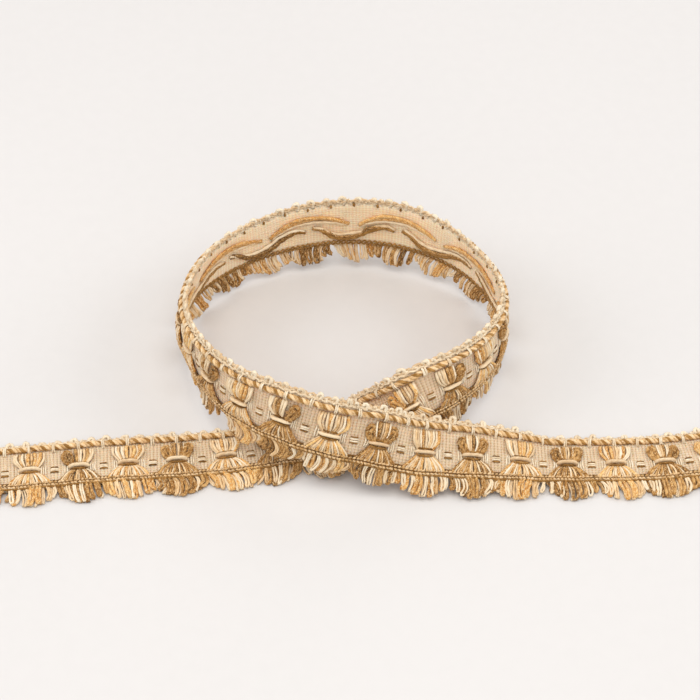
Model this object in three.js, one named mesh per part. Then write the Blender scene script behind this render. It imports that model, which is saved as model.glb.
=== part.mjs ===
// A length of fan edge trim (woven furnishing edging), lying face up on a table.
// Its two tails lie flat, and between them it makes one standing loop that crosses itself.
// Units are millimetres, +Z is up and the table is z = 0.
//
// The trim is first described flat, in its own coordinates:
//   at  distance along the trim, counted in pattern repeats (one tuft to the next),
//   v   height across the trim, from a line along the middle of the tape, picots up,
//   n   depth, from the middle of the tape, face side positive.
// The walk below then lays that flat trim along its real path.

import * as THREE from "three";
import { mergeVertices } from "three/addons/utils/BufferGeometryUtils.js";

// ---------------------------------------------------------------- driving sizes

const REPEAT = 19;            // from the waist of one tuft to the next
const TUFTS = 36;             // tufts in the whole length
const FIRST_CUT = -1.5;       // the left end, half a repeat before the first tuft
const LAST_CUT = FIRST_CUT + TUFTS;
const GAP = 0.3;              // air between pieces that lie edge to edge
const FACE_GAP = 0.6;         // air where two pieces bend on different facets

const TAPE = { top: 11, foot: -9.4, half: 1, web: 0, hemTop: 7.5, hemFoot: -8 };
const HEADER = { foot: 8.3, top: 10.9, height: 2 };
const PICOTS = { top: 14, half: 0.7 };
const CHAIN = { foot: -9.2, top: -7.1, height: 0.8 };
const FRINGE = { reach: 19, notch: 14 };
const FLOATS = { middle: 1, swing: 2.4, half: 3, thick: 0.35, clear: 0.05 };
const TIE = { middle: -1.2, half: 1.1, thick: 0.8 };
const TUFT = { top: 8, foot: CHAIN.top + FACE_GAP, edge: 0.9, crown: 0.3, arch: 0.05 };

// The path, one row for each bend of the lie.
//   at    repeats along the trim, as above
//   turn  degrees that the path turns to the left in one repeat
//   lean  degrees that the trim leans back from upright, 90 where it lies flat on its back
//   foot  millimetres of air under the fringe
const LIE = [
  { at: -1.5, turn: 1.5, lean: 90, foot: 0 },
  { at: 2, turn: -1.7, lean: 90, foot: 0 },
  { at: 4, turn: 6.1, lean: 90, foot: 0 },
  { at: 5.5, turn: -8, lean: 90, foot: 0 },
  { at: 6.5, turn: -1.9, lean: 71.5, foot: 0 },
  { at: 7.5, turn: 16.1, lean: 48, foot: 1.9 },
  { at: 8.5, turn: 20, lean: 26.5, foot: 6 },
  { at: 10, turn: 16.3, lean: 9.5, foot: 3 },
  { at: 11.5, turn: 30.5, lean: 2.5, foot: 0 },
  { at: 13, turn: 18, lean: 4.5, foot: 0.5 },
  { at: 15, turn: 17.7, lean: -7, foot: 1.9 },
  { at: 17, turn: 12.5, lean: -5, foot: 1.3 },
  { at: 19, turn: 17.7, lean: 4, foot: 0 },
  { at: 20.5, turn: 30.6, lean: 11, foot: 0 },
  { at: 22, turn: 11.6, lean: 2.5, foot: 3.5 },
  { at: 23.5, turn: 16.2, lean: 11, foot: 6.3 },
  { at: 25, turn: 17.3, lean: 25.5, foot: 9.3 },
  { at: 26.5, turn: 10.9, lean: 32, foot: 5.4 },
  { at: 28, turn: -1.5, lean: 57, foot: 0.9 },
  { at: 29.5, turn: -1.1, lean: 74, foot: 0 },
  { at: 31, turn: -0.7, lean: 90, foot: 0 },
  { at: 34.5, turn: 11.1, lean: 90, foot: 0 },
];
const START = { x: -152.7, y: -53.3, heading: 5.2 };   // the left end of the line v = 0
const STRIDE = 0.05;                                 // repeats in one step of the walk

// Cross-sections of a band in each repeat: few on the flat tails, most where it twists up.
const STRETCHES = [
  { to: 5.5, sections: 2 },
  { to: 7, sections: 4 },
  { to: 9.5, sections: 8 },
  { to: 13, sections: 4 },
  { to: 19.5, sections: 2 },
  { to: 23, sections: 4 },
  { to: 27, sections: 2 },
  { to: 29.5, sections: 4 },
  { to: LAST_CUT, sections: 2 },
];

const COLOURS = {
  tape: 0xd9bf9b, header: 0xb98f5c, picots: 0xe9d4b0, tie: 0xdcc299, chain: 0x8a6238,
  fringe: 0xcfa873, floats: 0xc49a60, gold: 0xd3a25c, brown: 0xa97d4c,
};

// ---------------------------------------------------------------- the lie of the trim

const radians = THREE.MathUtils.degToRad;

// A smooth column of the table, read between its rows, that never overshoots a row.
function column(name) {
  const spans = LIE.slice(1).map((row, i) => row.at - LIE[i].at);
  const slopes = LIE.slice(1).map((row, i) => (row[name] - LIE[i][name]) / spans[i]);
  const tangents = LIE.map((row, i) => {
    const before = slopes[i - 1] ?? 0;
    const after = slopes[i] ?? 0;
    return before * after <= 0 ? 0 : (2 * before * after) / (before + after);
  });
  return (at) => {
    const found = LIE.findIndex((row) => row.at > at) - 1;
    const i = found < 0 ? LIE.length - 2 : found;
    const t = (at - LIE[i].at) / spans[i];
    const rise = t * t * (3 - 2 * t);
    const leave = t * (1 - t) * (1 - t) * spans[i] * tangents[i];
    const arrive = t * t * (t - 1) * spans[i] * tangents[i + 1];
    return LIE[i][name] * (1 - rise) + LIE[i + 1][name] * rise + leave + arrive;
  };
}

const turnAt = column("turn");
const leanAt = column("lean");
const footAt = column("foot");

// Height of the middle line that leaves the stated air under the fringe.
function liftAt(at) {
  const lean = radians(leanAt(at));
  return footAt(at) + FRINGE.reach * Math.cos(lean) + TAPE.half * Math.abs(Math.sin(lean));
}

// Walk the middle line from the left end, a short step at a time.
function walk() {
  const count = Math.round(TUFTS / STRIDE);
  const stride = STRIDE * REPEAT;
  const steps = [];
  let heading = radians(START.heading);
  const place = new THREE.Vector3(START.x, START.y, liftAt(FIRST_CUT));
  for (let i = 0; i <= count; i += 1) {
    const at = FIRST_CUT + i * STRIDE;
    const climb = (liftAt(at + STRIDE / 2) - liftAt(at - STRIDE / 2)) / stride;
    steps.push({ place: place.clone(), heading, climb: Math.asin(climb), lean: radians(leanAt(at)) });
    const half = radians((turnAt(at) + turnAt(at + STRIDE)) * STRIDE / 4);
    const rise = liftAt(at + STRIDE) - place.z;
    const run = Math.sqrt(stride * stride - rise * rise);
    place.x += run * Math.cos(heading + half);
    place.y += run * Math.sin(heading + half);
    place.z += rise;
    heading += 2 * half;
  }
  return steps;
}

const STEPS = walk();

// The point of space where a point of the flat trim comes to lie.
function lay(at, v, n) {
  const step = THREE.MathUtils.clamp((at - FIRST_CUT) / STRIDE, 0, STEPS.length - 1);
  const i = Math.min(Math.floor(step), STEPS.length - 2);
  const t = step - i;
  const [a, b] = [STEPS[i], STEPS[i + 1]];
  const heading = THREE.MathUtils.lerp(a.heading, b.heading, t);
  const climb = THREE.MathUtils.lerp(a.climb, b.climb, t);
  const lean = THREE.MathUtils.lerp(a.lean, b.lean, t);
  const level = new THREE.Vector3(-Math.sin(heading), Math.cos(heading), 0);
  const along = new THREE.Vector3(
    Math.cos(heading) * Math.cos(climb), Math.sin(heading) * Math.cos(climb), Math.sin(climb));
  const upright = new THREE.Vector3().crossVectors(along, level);
  const across = upright.multiplyScalar(Math.cos(lean)).addScaledVector(level, Math.sin(lean));
  const outward = new THREE.Vector3().crossVectors(along, across);
  return a.place.clone().lerp(b.place, t).addScaledVector(across, v).addScaledVector(outward, n);
}

// ---------------------------------------------------------------- making the pieces

const trim = new THREE.Group();

// A piece is one flat profile, extruded a step for each station, and laid point by point.
function addPiece(name, colour, roughness, profile, stationCount, placePoint) {
  const shape = new THREE.Shape(profile.map(([x, y]) => new THREE.Vector2(x, y)));
  const steps = stationCount - 1;
  let geometry = new THREE.ExtrudeGeometry(shape, { depth: steps, steps, bevelEnabled: false });
  geometry.deleteAttribute("uv");
  geometry.deleteAttribute("normal");
  const points = geometry.getAttribute("position");
  for (let i = 0; i < points.count; i += 1) {
    const laid = placePoint(points.getX(i), points.getY(i), Math.round(points.getZ(i)));
    points.setXYZ(i, laid.x, laid.y, laid.z);
  }
  geometry = mergeVertices(geometry, 1e-3);
  geometry.computeVertexNormals();
  const mesh = new THREE.Mesh(
    geometry, new THREE.MeshStandardMaterial({ color: colour, roughness, metalness: 0 }));
  mesh.name = name;
  trim.add(mesh);
}

// A band runs the whole length. Its profile is v against n, and shift moves a point of it
// by where it is along the trim.
function addBand(name, colour, roughness, profile, stations, shift = (at, v, n) => [v, n]) {
  addPiece(name, colour, roughness, profile, stations.length, (v, n, station) => {
    const at = stations[station];
    return lay(at, ...shift(at, v, n));
  });
}

function box(foot, top, back, face) {
  return [[foot, back], [top, back], [top, face], [foot, face]];
}

// Stations of a plain band.
function plainStations() {
  const stations = [FIRST_CUT];
  STRETCHES.forEach(({ to, sections }) => {
    const from = stations.at(-1);
    const count = Math.round((to - from) * sections);
    for (let i = 1; i <= count; i += 1) stations.push(from + i / sections);
  });
  return stations;
}

// Stations of a band that repeats with the tufts: the same offsets at each waist.
function repeatStations(offsets) {
  const stations = [FIRST_CUT];
  for (let tuft = 0; tuft < TUFTS; tuft += 1) {
    const waist = FIRST_CUT + tuft + 0.5;
    offsets.forEach((offset) => stations.push(waist + offset));
  }
  return stations;
}

// Distance along the trim from the nearest waist, in repeats.
function fromWaist(at) {
  return Math.abs(at - Math.round(at));
}

// ---------------------------------------------------------------- tape and its cords

// The woven ground, thick along both edges and thin between them, where the back yarns lie.
function makeTape() {
  const profile = [
    [TAPE.foot, -TAPE.half], [TAPE.hemFoot, -TAPE.half], [TAPE.hemFoot, TAPE.web],
    [0, TAPE.web], [TAPE.hemTop, TAPE.web], [TAPE.hemTop, -TAPE.half], [TAPE.top, -TAPE.half],
    [TAPE.top, TAPE.half], [TAPE.top / 2, TAPE.half], [TAPE.foot / 2, TAPE.half],
    [TAPE.foot, TAPE.half],
  ];
  addBand("tape", COLOURS.tape, 0.9, profile, plainStations());
}

function makeHeaderCord() {
  const back = TAPE.half + FACE_GAP;
  const bevel = 0.6;
  const profile = [
    [HEADER.foot, back], [HEADER.top, back],
    [HEADER.top - bevel, back + HEADER.height], [HEADER.foot + bevel, back + HEADER.height],
  ];
  addBand("header_cord", COLOURS.header, 0.8, profile, plainStations());
}

function makePicotEdge() {
  const profile = box(TAPE.top + GAP, PICOTS.top, -PICOTS.half, PICOTS.half);
  addBand("picot_edge", COLOURS.picots, 0.9, profile, plainStations());
}

function makeChainBand() {
  const back = TAPE.half + FACE_GAP;
  addBand("chain_band", COLOURS.chain, 0.8, box(CHAIN.foot, CHAIN.top, back, back + CHAIN.height),
    plainStations());
}

// The loose yarns of the back, one wavy strip that swings once in every two repeats: it hangs
// low behind the gold tufts and rises behind the brown ones.
function makeBackFloats() {
  const back = FLOATS.clear - TAPE.half;
  const profile = box(-FLOATS.half, FLOATS.half, back, back + FLOATS.thick);
  addBand("back_floats", COLOURS.floats, 0.8, profile, plainStations(),
    (at, v, n) => [v + FLOATS.middle - FLOATS.swing * Math.cos(Math.PI * at), n]);
}

// The looped fringe, one comb with a notch between each tuft and the next.
function makeFringe() {
  const outline = [
    { offset: -0.35, reach: 17 }, { offset: -0.1, reach: FRINGE.reach },
    { offset: 0.1, reach: FRINGE.reach }, { offset: 0.35, reach: 17 },
    { offset: 0.5, reach: FRINGE.notch },
  ];
  const stations = repeatStations(outline.map((row) => row.offset));
  const top = TAPE.foot - GAP;
  const reachOf = (at) => {
    const nearest = (row) => Math.abs(Math.abs(row.offset) - fromWaist(at));
    return outline.reduce((best, row) => (nearest(row) < nearest(best) ? row : best)).reach;
  };
  addBand("fringe", COLOURS.fringe, 0.85, box(-FRINGE.reach, top, -TAPE.half, TAPE.half), stations,
    (at, v, n) => [v < top ? -reachOf(at) : v, n]);
}

// ---------------------------------------------------------------- tufts and their tie

// Half the width of a tuft, from its upper loops to its foot on the chain.
const BOW = [
  { v: TUFT.top, half: 6.2 },
  { v: TIE.middle + 1.6, half: 3.4 },
  { v: TIE.middle - 1.6, half: 3.4 },
  { v: TUFT.foot, half: 9.1 },
];

// One bow of yarn, three facets wide so that it bends with the tape.
function makeTuft(index) {
  const waist = FIRST_CUT + index + 0.5;
  const back = TAPE.half + FACE_GAP;
  const face = back + TUFT.edge;
  const crown = face + TUFT.crown;
  const third = 1 / 3;
  const profile = [
    [-1, back], [-third, back + TUFT.arch], [third, back + TUFT.arch], [1, back],
    [1, face], [third, crown], [-third, crown], [-1, face],
  ];
  const gold = waist % 2 === 0;
  const name = `fan_${String(index + 1).padStart(2, "0")}`;
  addPiece(name, gold ? COLOURS.gold : COLOURS.brown, 0.8, profile, BOW.length,
    (width, n, station) => lay(waist + (width * BOW[station].half) / REPEAT, BOW[station].v, n));
}

// The flat tie: over each waist, and down to the tape between the tufts.
function makeTieCord() {
  const low = TAPE.half + FACE_GAP;
  const high = low + TUFT.edge + TUFT.crown + FACE_GAP;
  const over = 0.2;
  const down = 0.29;
  const lift = (at) => (fromWaist(at) < (over + down) / 2 ? high - low : 0);
  const profile = box(TIE.middle - TIE.half, TIE.middle + TIE.half, low, low + TIE.thick);
  addBand("tie_cord", COLOURS.tie, 0.85, profile,
    [...repeatStations([-down, -over, over, down]), LAST_CUT], (at, v, n) => [v, n + lift(at)]);
}

makeTape();
makeHeaderCord();
makePicotEdge();
makeChainBand();
makeBackFloats();
makeFringe();
makeTieCord();
for (let index = 0; index < TUFTS; index += 1) makeTuft(index);

export default trim;
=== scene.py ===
# %% [markdown]
# # A fan edge trim
# Fan edging is a narrow furnishing braid. A ribbed tape carries everything else: a cord laid
# along its heading, small picot loops above the cord, bows of yarn tied at the waist, and
# under them a chain stitch from which the same yarns hang as a looped fringe. It could be
# sculpted in place, but a pattern is far easier to work on a straight line. So this notebook
# works the whole trim flat, yarn by yarn, as a braid maker would, and then lays the finished
# work along its real path: two flat tails with one standing loop between them.

import math

import bpy
import numpy as np
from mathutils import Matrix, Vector


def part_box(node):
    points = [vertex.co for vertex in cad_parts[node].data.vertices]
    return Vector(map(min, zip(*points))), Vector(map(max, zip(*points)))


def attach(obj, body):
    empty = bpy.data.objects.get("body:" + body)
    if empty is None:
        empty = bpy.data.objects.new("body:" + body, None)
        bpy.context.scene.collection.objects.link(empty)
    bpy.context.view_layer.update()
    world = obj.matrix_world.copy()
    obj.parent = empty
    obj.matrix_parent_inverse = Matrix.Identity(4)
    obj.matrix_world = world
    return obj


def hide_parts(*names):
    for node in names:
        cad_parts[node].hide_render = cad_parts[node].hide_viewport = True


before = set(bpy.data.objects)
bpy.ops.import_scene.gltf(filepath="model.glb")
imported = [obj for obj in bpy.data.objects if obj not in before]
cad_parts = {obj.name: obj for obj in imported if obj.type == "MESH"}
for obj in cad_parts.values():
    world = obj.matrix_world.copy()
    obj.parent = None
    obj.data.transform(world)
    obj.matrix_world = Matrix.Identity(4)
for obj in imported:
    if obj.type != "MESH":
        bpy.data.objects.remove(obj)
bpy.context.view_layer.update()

# %% [markdown]
# ## The sizes of the trim
# All work is done in the trim's own millimetres. `x` runs along the trim, `v` across it from
# a line along the middle of the tape (picots up, fringe down), and `n` is the depth, with the
# face of the trim positive. One repeat is the distance from a bow to the next. Places along
# the trim are counted in repeats, and the trim is cut half a repeat outside its end bows. The
# bows are tied on a line a little below the middle, and the heading is crossed by its own yarn
# at every half repeat.

# %% Sizes
MM = 0.001
REPEAT = 19.0
TUFTS = 36
FIRST_CUT = -1.5
LAST_CUT = FIRST_CUT + TUFTS
LENGTH = TUFTS * REPEAT
ENDS = (REPEAT * FIRST_CUT, REPEAT * LAST_CUT)
TIE_LINE = -1.2
CLOTH = {"top": 11.0, "foot": -9.4, "face": 1.0, "back": -0.1, "rib": 1.38, "thread": 1.15}
WAISTS = REPEAT * (FIRST_CUT + 0.5 + np.arange(TUFTS))
CROSSINGS = REPEAT / 2 * np.arange(2 * FIRST_CUT + 1, 2 * LAST_CUT)
print("trim", LENGTH, "mm long,", TUFTS, "bows")

# %% [markdown]
# ## The lie of the trim
# The trim could follow a curve with a Curve modifier, but a curve drawn by hand changes its
# length with every edit, and a braid hardly stretches. Its lie is better described by how it
# turns as one walks along it. Each row of the table gives a place, and there how many degrees
# the path turns per repeat, how far the trim leans back from upright (90 is flat on its back)
# and how much air is under its fringe. A walk in short steps adds the turns up, so the length
# stays true, and every point of the flat trim is then carried to its place beside a step.

# %% The table of turns
LIE_COLUMNS = ("at", "turn", "lean", "foot")
LIE = (
    (-1.5, 1.5, 90, 0),
    (2, -1.7, 90, 0),
    (4, 6.1, 90, 0),
    (5.5, -8, 90, 0),
    (6.5, -1.9, 71.5, 0),
    (7.5, 16.1, 48, 1.9),
    (8.5, 20, 26.5, 6),
    (10, 16.3, 9.5, 3),
    (11.5, 30.5, 2.5, 0),
    (13, 18, 4.5, 0.5),
    (15, 17.7, -7, 1.9),
    (17, 12.5, -5, 1.3),
    (19, 17.7, 4, 0),
    (20.5, 30.6, 11, 0),
    (22, 11.6, 2.5, 3.5),
    (23.5, 16.2, 11, 6.3),
    (25, 17.3, 25.5, 9.3),
    (26.5, 10.9, 32, 5.4),
    (28, -1.5, 57, 0.9),
    (29.5, -1.1, 74, 0),
    (31, -0.7, 90, 0),
    (34.5, 11.1, 90, 0),
)
START = {"x": -152.7, "y": -53.3, "heading": 5.2}
print("rows", len(LIE), "from", LIE[0][0], "to", LIE[-1][0], "repeats")


# %% Reading the table
def column(name):
    """A smooth column of the table, read between its rows, that never overshoots a row."""
    at, value = np.array(LIE)[:, [0, LIE_COLUMNS.index(name)]].T
    span = np.diff(at)
    slope = np.diff(value) / span
    before, after = np.append(0, slope), np.append(slope, 0)
    agree = before * after > 0
    tangent = np.zeros(len(at))
    tangent[agree] = 2 * before[agree] * after[agree] / (before[agree] + after[agree])

    def read(where):
        i = np.clip(np.searchsorted(at, where, side="right") - 1, 0, len(span) - 1)
        t = (where - at[i]) / span[i]
        rise = t * t * (3 - 2 * t)
        leave = t * (1 - t) ** 2 * span[i] * tangent[i]
        arrive = t * t * (t - 1) * span[i] * tangent[i + 1]
        return value[i] * (1 - rise) + value[i + 1] * rise + leave + arrive

    return read


turn_at, lean_at, foot_at = column("turn"), column("lean"), column("foot")
print("lean at 8, 16 and 24 repeats", lean_at(np.array([8.0, 16.0, 24.0])).round(1))

# %% Walking the path
STRIDE = 0.05
DROP = 19.0  # from the middle line to just below the longest fringe loop
HALF_TAPE = 1.0  # from the middle line of a flat tail to the table


def lift_at(at):
    """Height of the middle line that leaves the stated air under the fringe."""
    lean = np.radians(lean_at(at))
    return foot_at(at) + DROP * np.cos(lean) + HALF_TAPE * np.abs(np.sin(lean))


def walk():
    """Places, headings, climbs and leans of the middle line, a short step at a time."""
    stride = STRIDE * REPEAT
    ats = FIRST_CUT + STRIDE * np.arange(round(TUFTS / STRIDE) + 1)
    lift = lift_at(ats)
    halves = np.radians((turn_at(ats) + turn_at(ats + STRIDE)) * STRIDE / 4)
    heading = math.radians(START["heading"]) + np.append(0, np.cumsum(2 * halves)[:-1])
    rise = np.append(np.diff(lift), 0)
    run = np.sqrt(stride**2 - rise**2)
    x = START["x"] + np.append(0, np.cumsum(run * np.cos(heading + halves))[:-1])
    y = START["y"] + np.append(0, np.cumsum(run * np.sin(heading + halves))[:-1])
    climb = np.arcsin((lift_at(ats + STRIDE / 2) - lift_at(ats - STRIDE / 2)) / stride)
    return np.stack([x, y, lift, heading, climb, np.radians(lean_at(ats))], axis=-1)


STEPS = walk()
print("steps", len(STEPS), "from", STEPS[0, :3].round(1), "to", STEPS[-1, :3].round(1))


# %% Laying flat work on the path
def points_of(first, second, third):
    """Points from their three coordinates. What is alike for many of them is given once."""
    return np.stack(np.broadcast_arrays(first, second, third), axis=-1)


def lay(flat):
    """Points of the flat trim (x, v, n in millimetres) where they come to lie, in metres."""
    x, v, n = flat[..., 0], flat[..., 1:2], flat[..., 2:3]
    step = np.clip((x / REPEAT - FIRST_CUT) / STRIDE, 0, len(STEPS) - 1.001)
    i = step.astype(int)
    t = (step - i)[..., None]
    here = STEPS[i] * (1 - t) + STEPS[i + 1] * t
    heading, climb, lean = here[..., 3], here[..., 4], here[..., 5:6]
    level = points_of(-np.sin(heading), np.cos(heading), 0.0)
    along = points_of(np.cos(heading) * np.cos(climb), np.sin(heading) * np.cos(climb), np.sin(climb))
    across = np.cos(lean) * np.cross(along, level) + np.sin(lean) * level
    past = (x - REPEAT * (FIRST_CUT + step * STRIDE))[..., None]
    return MM * (here[..., :3] + along * past + across * v + np.cross(along, across) * n)


edge_x = np.linspace(*ENDS, 2000)
edges = np.stack([lay(points_of(edge_x, v, 1.0)) for v in (CLOTH["foot"], CLOTH["top"])])
tape_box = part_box("tape")
print("tape edges", edges.min((0, 1)).round(4), edges.max((0, 1)).round(4))
print("CAD tape  ", np.round(tape_box[0], 4), np.round(tape_box[1], 4))

# %% [markdown]
# ## Bobbins of yarn
# Yarn is plies twisted together, and the twist is what catches the light. A bevelled curve
# would give a round tube without it. So a yarn is modelled once, straight, as it comes off the
# bobbin. Two plies have an oval section that turns along the yarn, so a circle is pressed oval
# in edit mode and drawn out by a Screw modifier, which turns the section as it climbs. For
# three plies all corners of the circle but every third are pressed in. The straight yarn is
# then copied along every line that a yarn takes in the trim, so its twist stays right however
# it bends.

# %% Bobbins
RINGS = 2200  # on a bobbin; longer yarns wind on from its start


def deselect():
    if bpy.context.mode != "OBJECT":
        bpy.ops.object.mode_set(mode="OBJECT")
    bpy.ops.object.select_all(action="DESELECT")


def wind_bobbin(name, corners, plies, press, twist):
    """The rings of a straight yarn of radius 1: its section turns by twist degrees a ring."""
    deselect()
    bpy.ops.mesh.primitive_circle_add(vertices=corners, radius=1, location=(0, 0, 0))
    yarn = bpy.context.object
    yarn.name = name
    bpy.ops.object.mode_set(mode="EDIT")
    if plies == 2:
        bpy.ops.transform.resize(value=(1, press, 1))
    elif plies == 3:
        bpy.ops.mesh.select_all(action="DESELECT")
        bpy.ops.object.mode_set(mode="OBJECT")
        for corner in yarn.data.vertices:
            corner.select = corner.index % (corners // plies) != 0
        bpy.ops.object.mode_set(mode="EDIT")
        bpy.ops.transform.resize(value=(press, press, 1))
    bpy.ops.object.mode_set(mode="OBJECT")
    climb = yarn.modifiers.new("climb", "SCREW")
    climb.axis = "Z"
    climb.steps = climb.render_steps = RINGS - 1
    climb.screw_offset = RINGS - 1
    climb.angle = math.radians(twist * (RINGS - 1))
    climb.use_merge_vertices = False
    bpy.ops.object.modifier_apply(modifier="climb")
    points = np.zeros(len(yarn.data.vertices) * 3)
    yarn.data.vertices.foreach_get("co", points)
    bpy.data.objects.remove(yarn)
    rings = points.reshape(-1, 3)
    ring = np.round(rings[:, 2]).astype(int)
    angle = np.arctan2(rings[:, 1], rings[:, 0])
    start = angle[ring == 0].min()
    turned = (angle - np.radians(twist) * ring - start + 0.01) % (2 * math.pi)
    order = np.lexsort((turned, ring))
    return rings[order].reshape(RINGS, corners, 3)[:, :, :2]


BOBBINS = {
    "soft": wind_bobbin("soft_bobbin", 8, 2, 0.8, 31),
    "plump": wind_bobbin("plump_bobbin", 9, 3, 0.84, 27),
    "fine": wind_bobbin("fine_bobbin", 6, 2, 0.82, 35),
    "ply": wind_bobbin("ply_bobbin", 7, 1, 1.0, -24),
    "thin": wind_bobbin("thin_bobbin", 5, 1, 1.0, 24),
}
for name, rings in BOBBINS.items():
    print("bobbin", name, rings.shape, "radius", round(float(np.hypot(*rings[9].T).max()), 3))

# %% [markdown]
# ## Drawing and working a yarn
# There are thousands of yarns and stitches here, too many for an object each. A yarn's way is
# given by a few knots, as a needle would be led, and a smooth curve is drawn through them, for
# all the yarns of a kind at once. The direction that is sideways is carried on from ring to
# ring without twisting. A `Skein` collects all the yarns of one piece, and lays them as one
# mesh. It keeps two attributes for the materials: each point's place on the straight yarn, so
# that fibres follow the yarn, and a tone that differs a little from yarn to yarn and is moved by
# each yarn's shade. In most pieces that shade is the yarn's own lighter or darker colour. In the
# fringe and the bows it is painted shade and light, where yarns lie behind, under or over others.

# %% Drawing lines
FINE = 8  # points from one knot to the next


def far_along(lines):
    """How far each point is along its own line."""
    steps = np.linalg.norm(np.diff(lines, axis=1), axis=2)
    return np.pad(np.cumsum(steps, axis=1), ((0, 0), (1, 0)))


def drawn(knots, rings):
    """Smooth lines through rows of knots, with their rings evenly spaced."""
    knots = np.asarray(knots, float)
    last = knots.shape[1] - 1
    padded = np.concatenate(
        [2 * knots[:, :1] - knots[:, 1:2], knots, 2 * knots[:, -1:] - knots[:, -2:-1]], axis=1)
    t = np.linspace(0, last, FINE * last + 1)
    i = np.minimum(t.astype(int), last - 1)
    t = (t - i)[None, :, None]
    a, b, c, d = (padded[:, i + k] for k in range(4))
    fine = b + t / 2 * (c - a + t * (2 * a - 5 * b + 4 * c - d + t * (3 * (b - c) + d - a)))
    share = np.linspace(0, 1, rings)
    return np.stack([
        np.stack([np.interp(share * far[-1], far, line[:, k]) for k in range(3)], axis=-1)
        for line, far in zip(fine, far_along(fine))])


def straight_run(v, n, spacing):
    """A line along the whole trim at one height and depth, with a ring at each spacing."""
    return points_of(np.linspace(*ENDS, round(LENGTH / spacing) + 1), v, n)[None]


def unit(vectors):
    return vectors / np.maximum(np.linalg.norm(vectors, axis=-1, keepdims=True), 1e-9)


def carried(lines):
    """The side and up directions at every ring, carried on from the first ring."""
    along = unit(np.gradient(lines, axis=1))
    side = np.empty_like(lines)
    first = np.cross((0.0, 0.0, 1.0), along[:, 0])
    steep = np.linalg.norm(first, axis=1) < 0.3
    first[steep] = np.cross((0.0, 1.0, 0.0), along[steep, 0])
    side[:, 0] = unit(first)
    for k in range(1, lines.shape[1]):
        kept = side[:, k - 1]
        lost = (kept * along[:, k]).sum(axis=1, keepdims=True) * along[:, k]
        side[:, k] = unit(kept - lost)
    return side, np.cross(along, side)


arch = drawn([[(0, 0, 0), (1, 1, 0), (2, 0, 0)]], 7)
print("an arch drawn through 3 knots:", arch[0, :, :2].round(2).tolist())


# %% Skeins
class Skein:
    """The yarns of one piece, worked on the flat trim."""

    def __init__(self, seed):
        self.chance = np.random.default_rng(seed)
        self.worked = []

    def work(self, bobbin, lines, radius, dye, thick=1.0, rough=0.0, shade=0.0):
        """Winds yarn off a bobbin along each line. Dye is the number of its material, thick
        flattens the yarn, rough makes it uneven, and shade makes it lighter or darker: a colour of
        its own for some yarns, and painted shade and light for yarns that lie behind, under or over
        their neighbours."""
        strands, rings = lines.shape[:2]
        yarn = BOBBINS[bobbin]
        corners = yarn.shape[1]
        start = self.chance.integers(0, RINGS, strands)
        ring = (start[:, None] + np.arange(rings)) % RINGS
        thickness = np.broadcast_to(radius, (strands, rings))[..., None]
        section = yarn[ring] * thickness[..., None]
        if rough:
            section = section * self.chance.normal(1, rough, section.shape[:3])[..., None]
        side, up = carried(lines)
        points = (lines[:, :, None] + side[:, :, None] * section[..., :1]
                  + up[:, :, None] * section[..., 1:] * thick)
        far = far_along(lines) + self.chance.uniform(0, 500, (strands, 1))
        round_about = 2 * math.pi * np.arange(corners) / corners
        where = points_of(np.cos(round_about) * thickness, np.sin(round_about) * thickness,
                          far[..., None])
        # Random tone plus the shade given, which for fringe loops and bow floats is painted shade and
        # light.
        tone_and_shade = self.chance.uniform(0, 1, strands) + shade
        self.worked.append((points, where, tone_and_shade, dye))

    def mesh(self, name):
        """All the yarns as one closed mesh of rings and end caps, laid along the path."""
        corners, where, tones, faces, dyes = [], [], [], [], []
        first = 0
        for points, straight, tone_and_shade, dye in self.worked:
            strands, rings, sides = points.shape[:3]
            index = first + np.arange(strands * rings * sides).reshape(strands, rings, sides)
            ahead = np.roll(index, -1, axis=2)
            quads = np.stack(
                [index[:, :-1], ahead[:, :-1], ahead[:, 1:], index[:, 1:]], -1).reshape(-1, 4)
            caps = np.concatenate([index[:, 0, ::-1], index[:, -1]])
            faces += quads.tolist() + caps.tolist()
            dyes.append(np.full(len(quads) + len(caps), dye))
            corners.append(points.reshape(-1, 3))
            where.append(straight.reshape(-1, 3))
            tones.append(np.repeat(tone_and_shade, rings * sides))
            first += strands * rings * sides
        flat = np.concatenate(corners)
        shape = bpy.data.meshes.new(name)
        shape.from_pydata(lay(flat), [], faces)
        for key, kind, field, data in (("straight", "FLOAT_VECTOR", "vector", where),
                                       ("tone_and_shade", "FLOAT", "value", tones)):
            values = np.concatenate(data).astype(np.float32).ravel()
            shape.attributes.new(key, kind, "POINT").data.foreach_set(field, values)
        for material in YARNS:
            shape.materials.append(material)
        shape.polygons.foreach_set("material_index", np.concatenate(dyes).astype(np.int32))
        shape.shade_smooth()
        made = bpy.data.objects.new(name, shape)
        bpy.context.scene.collection.objects.link(made)
        return made


# %% Handing a piece over
made_pieces = []


def hand_over(piece, slot, *nodes):
    """The finished piece rides on the trim, and stands for the CAD nodes that it details."""
    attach(piece, "root")
    if nodes:
        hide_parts(*nodes)
    made_pieces.append(piece)
    triangles = sum(len(face.vertices) - 2 for face in piece.data.polygons)
    print("made", piece.name, triangles, "triangles")
    return piece


# %% [markdown]
# ## Writing shaders as sums
# A material here is a few sums of noises. They could be wired by hand in the shader editor, but
# sums are easier to read as sums. The class below lets a shader value be written as arithmetic,
# so a line of Python is a chain of Math nodes. Any other node comes from one method that takes
# its type, its settings and its inputs.

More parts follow.
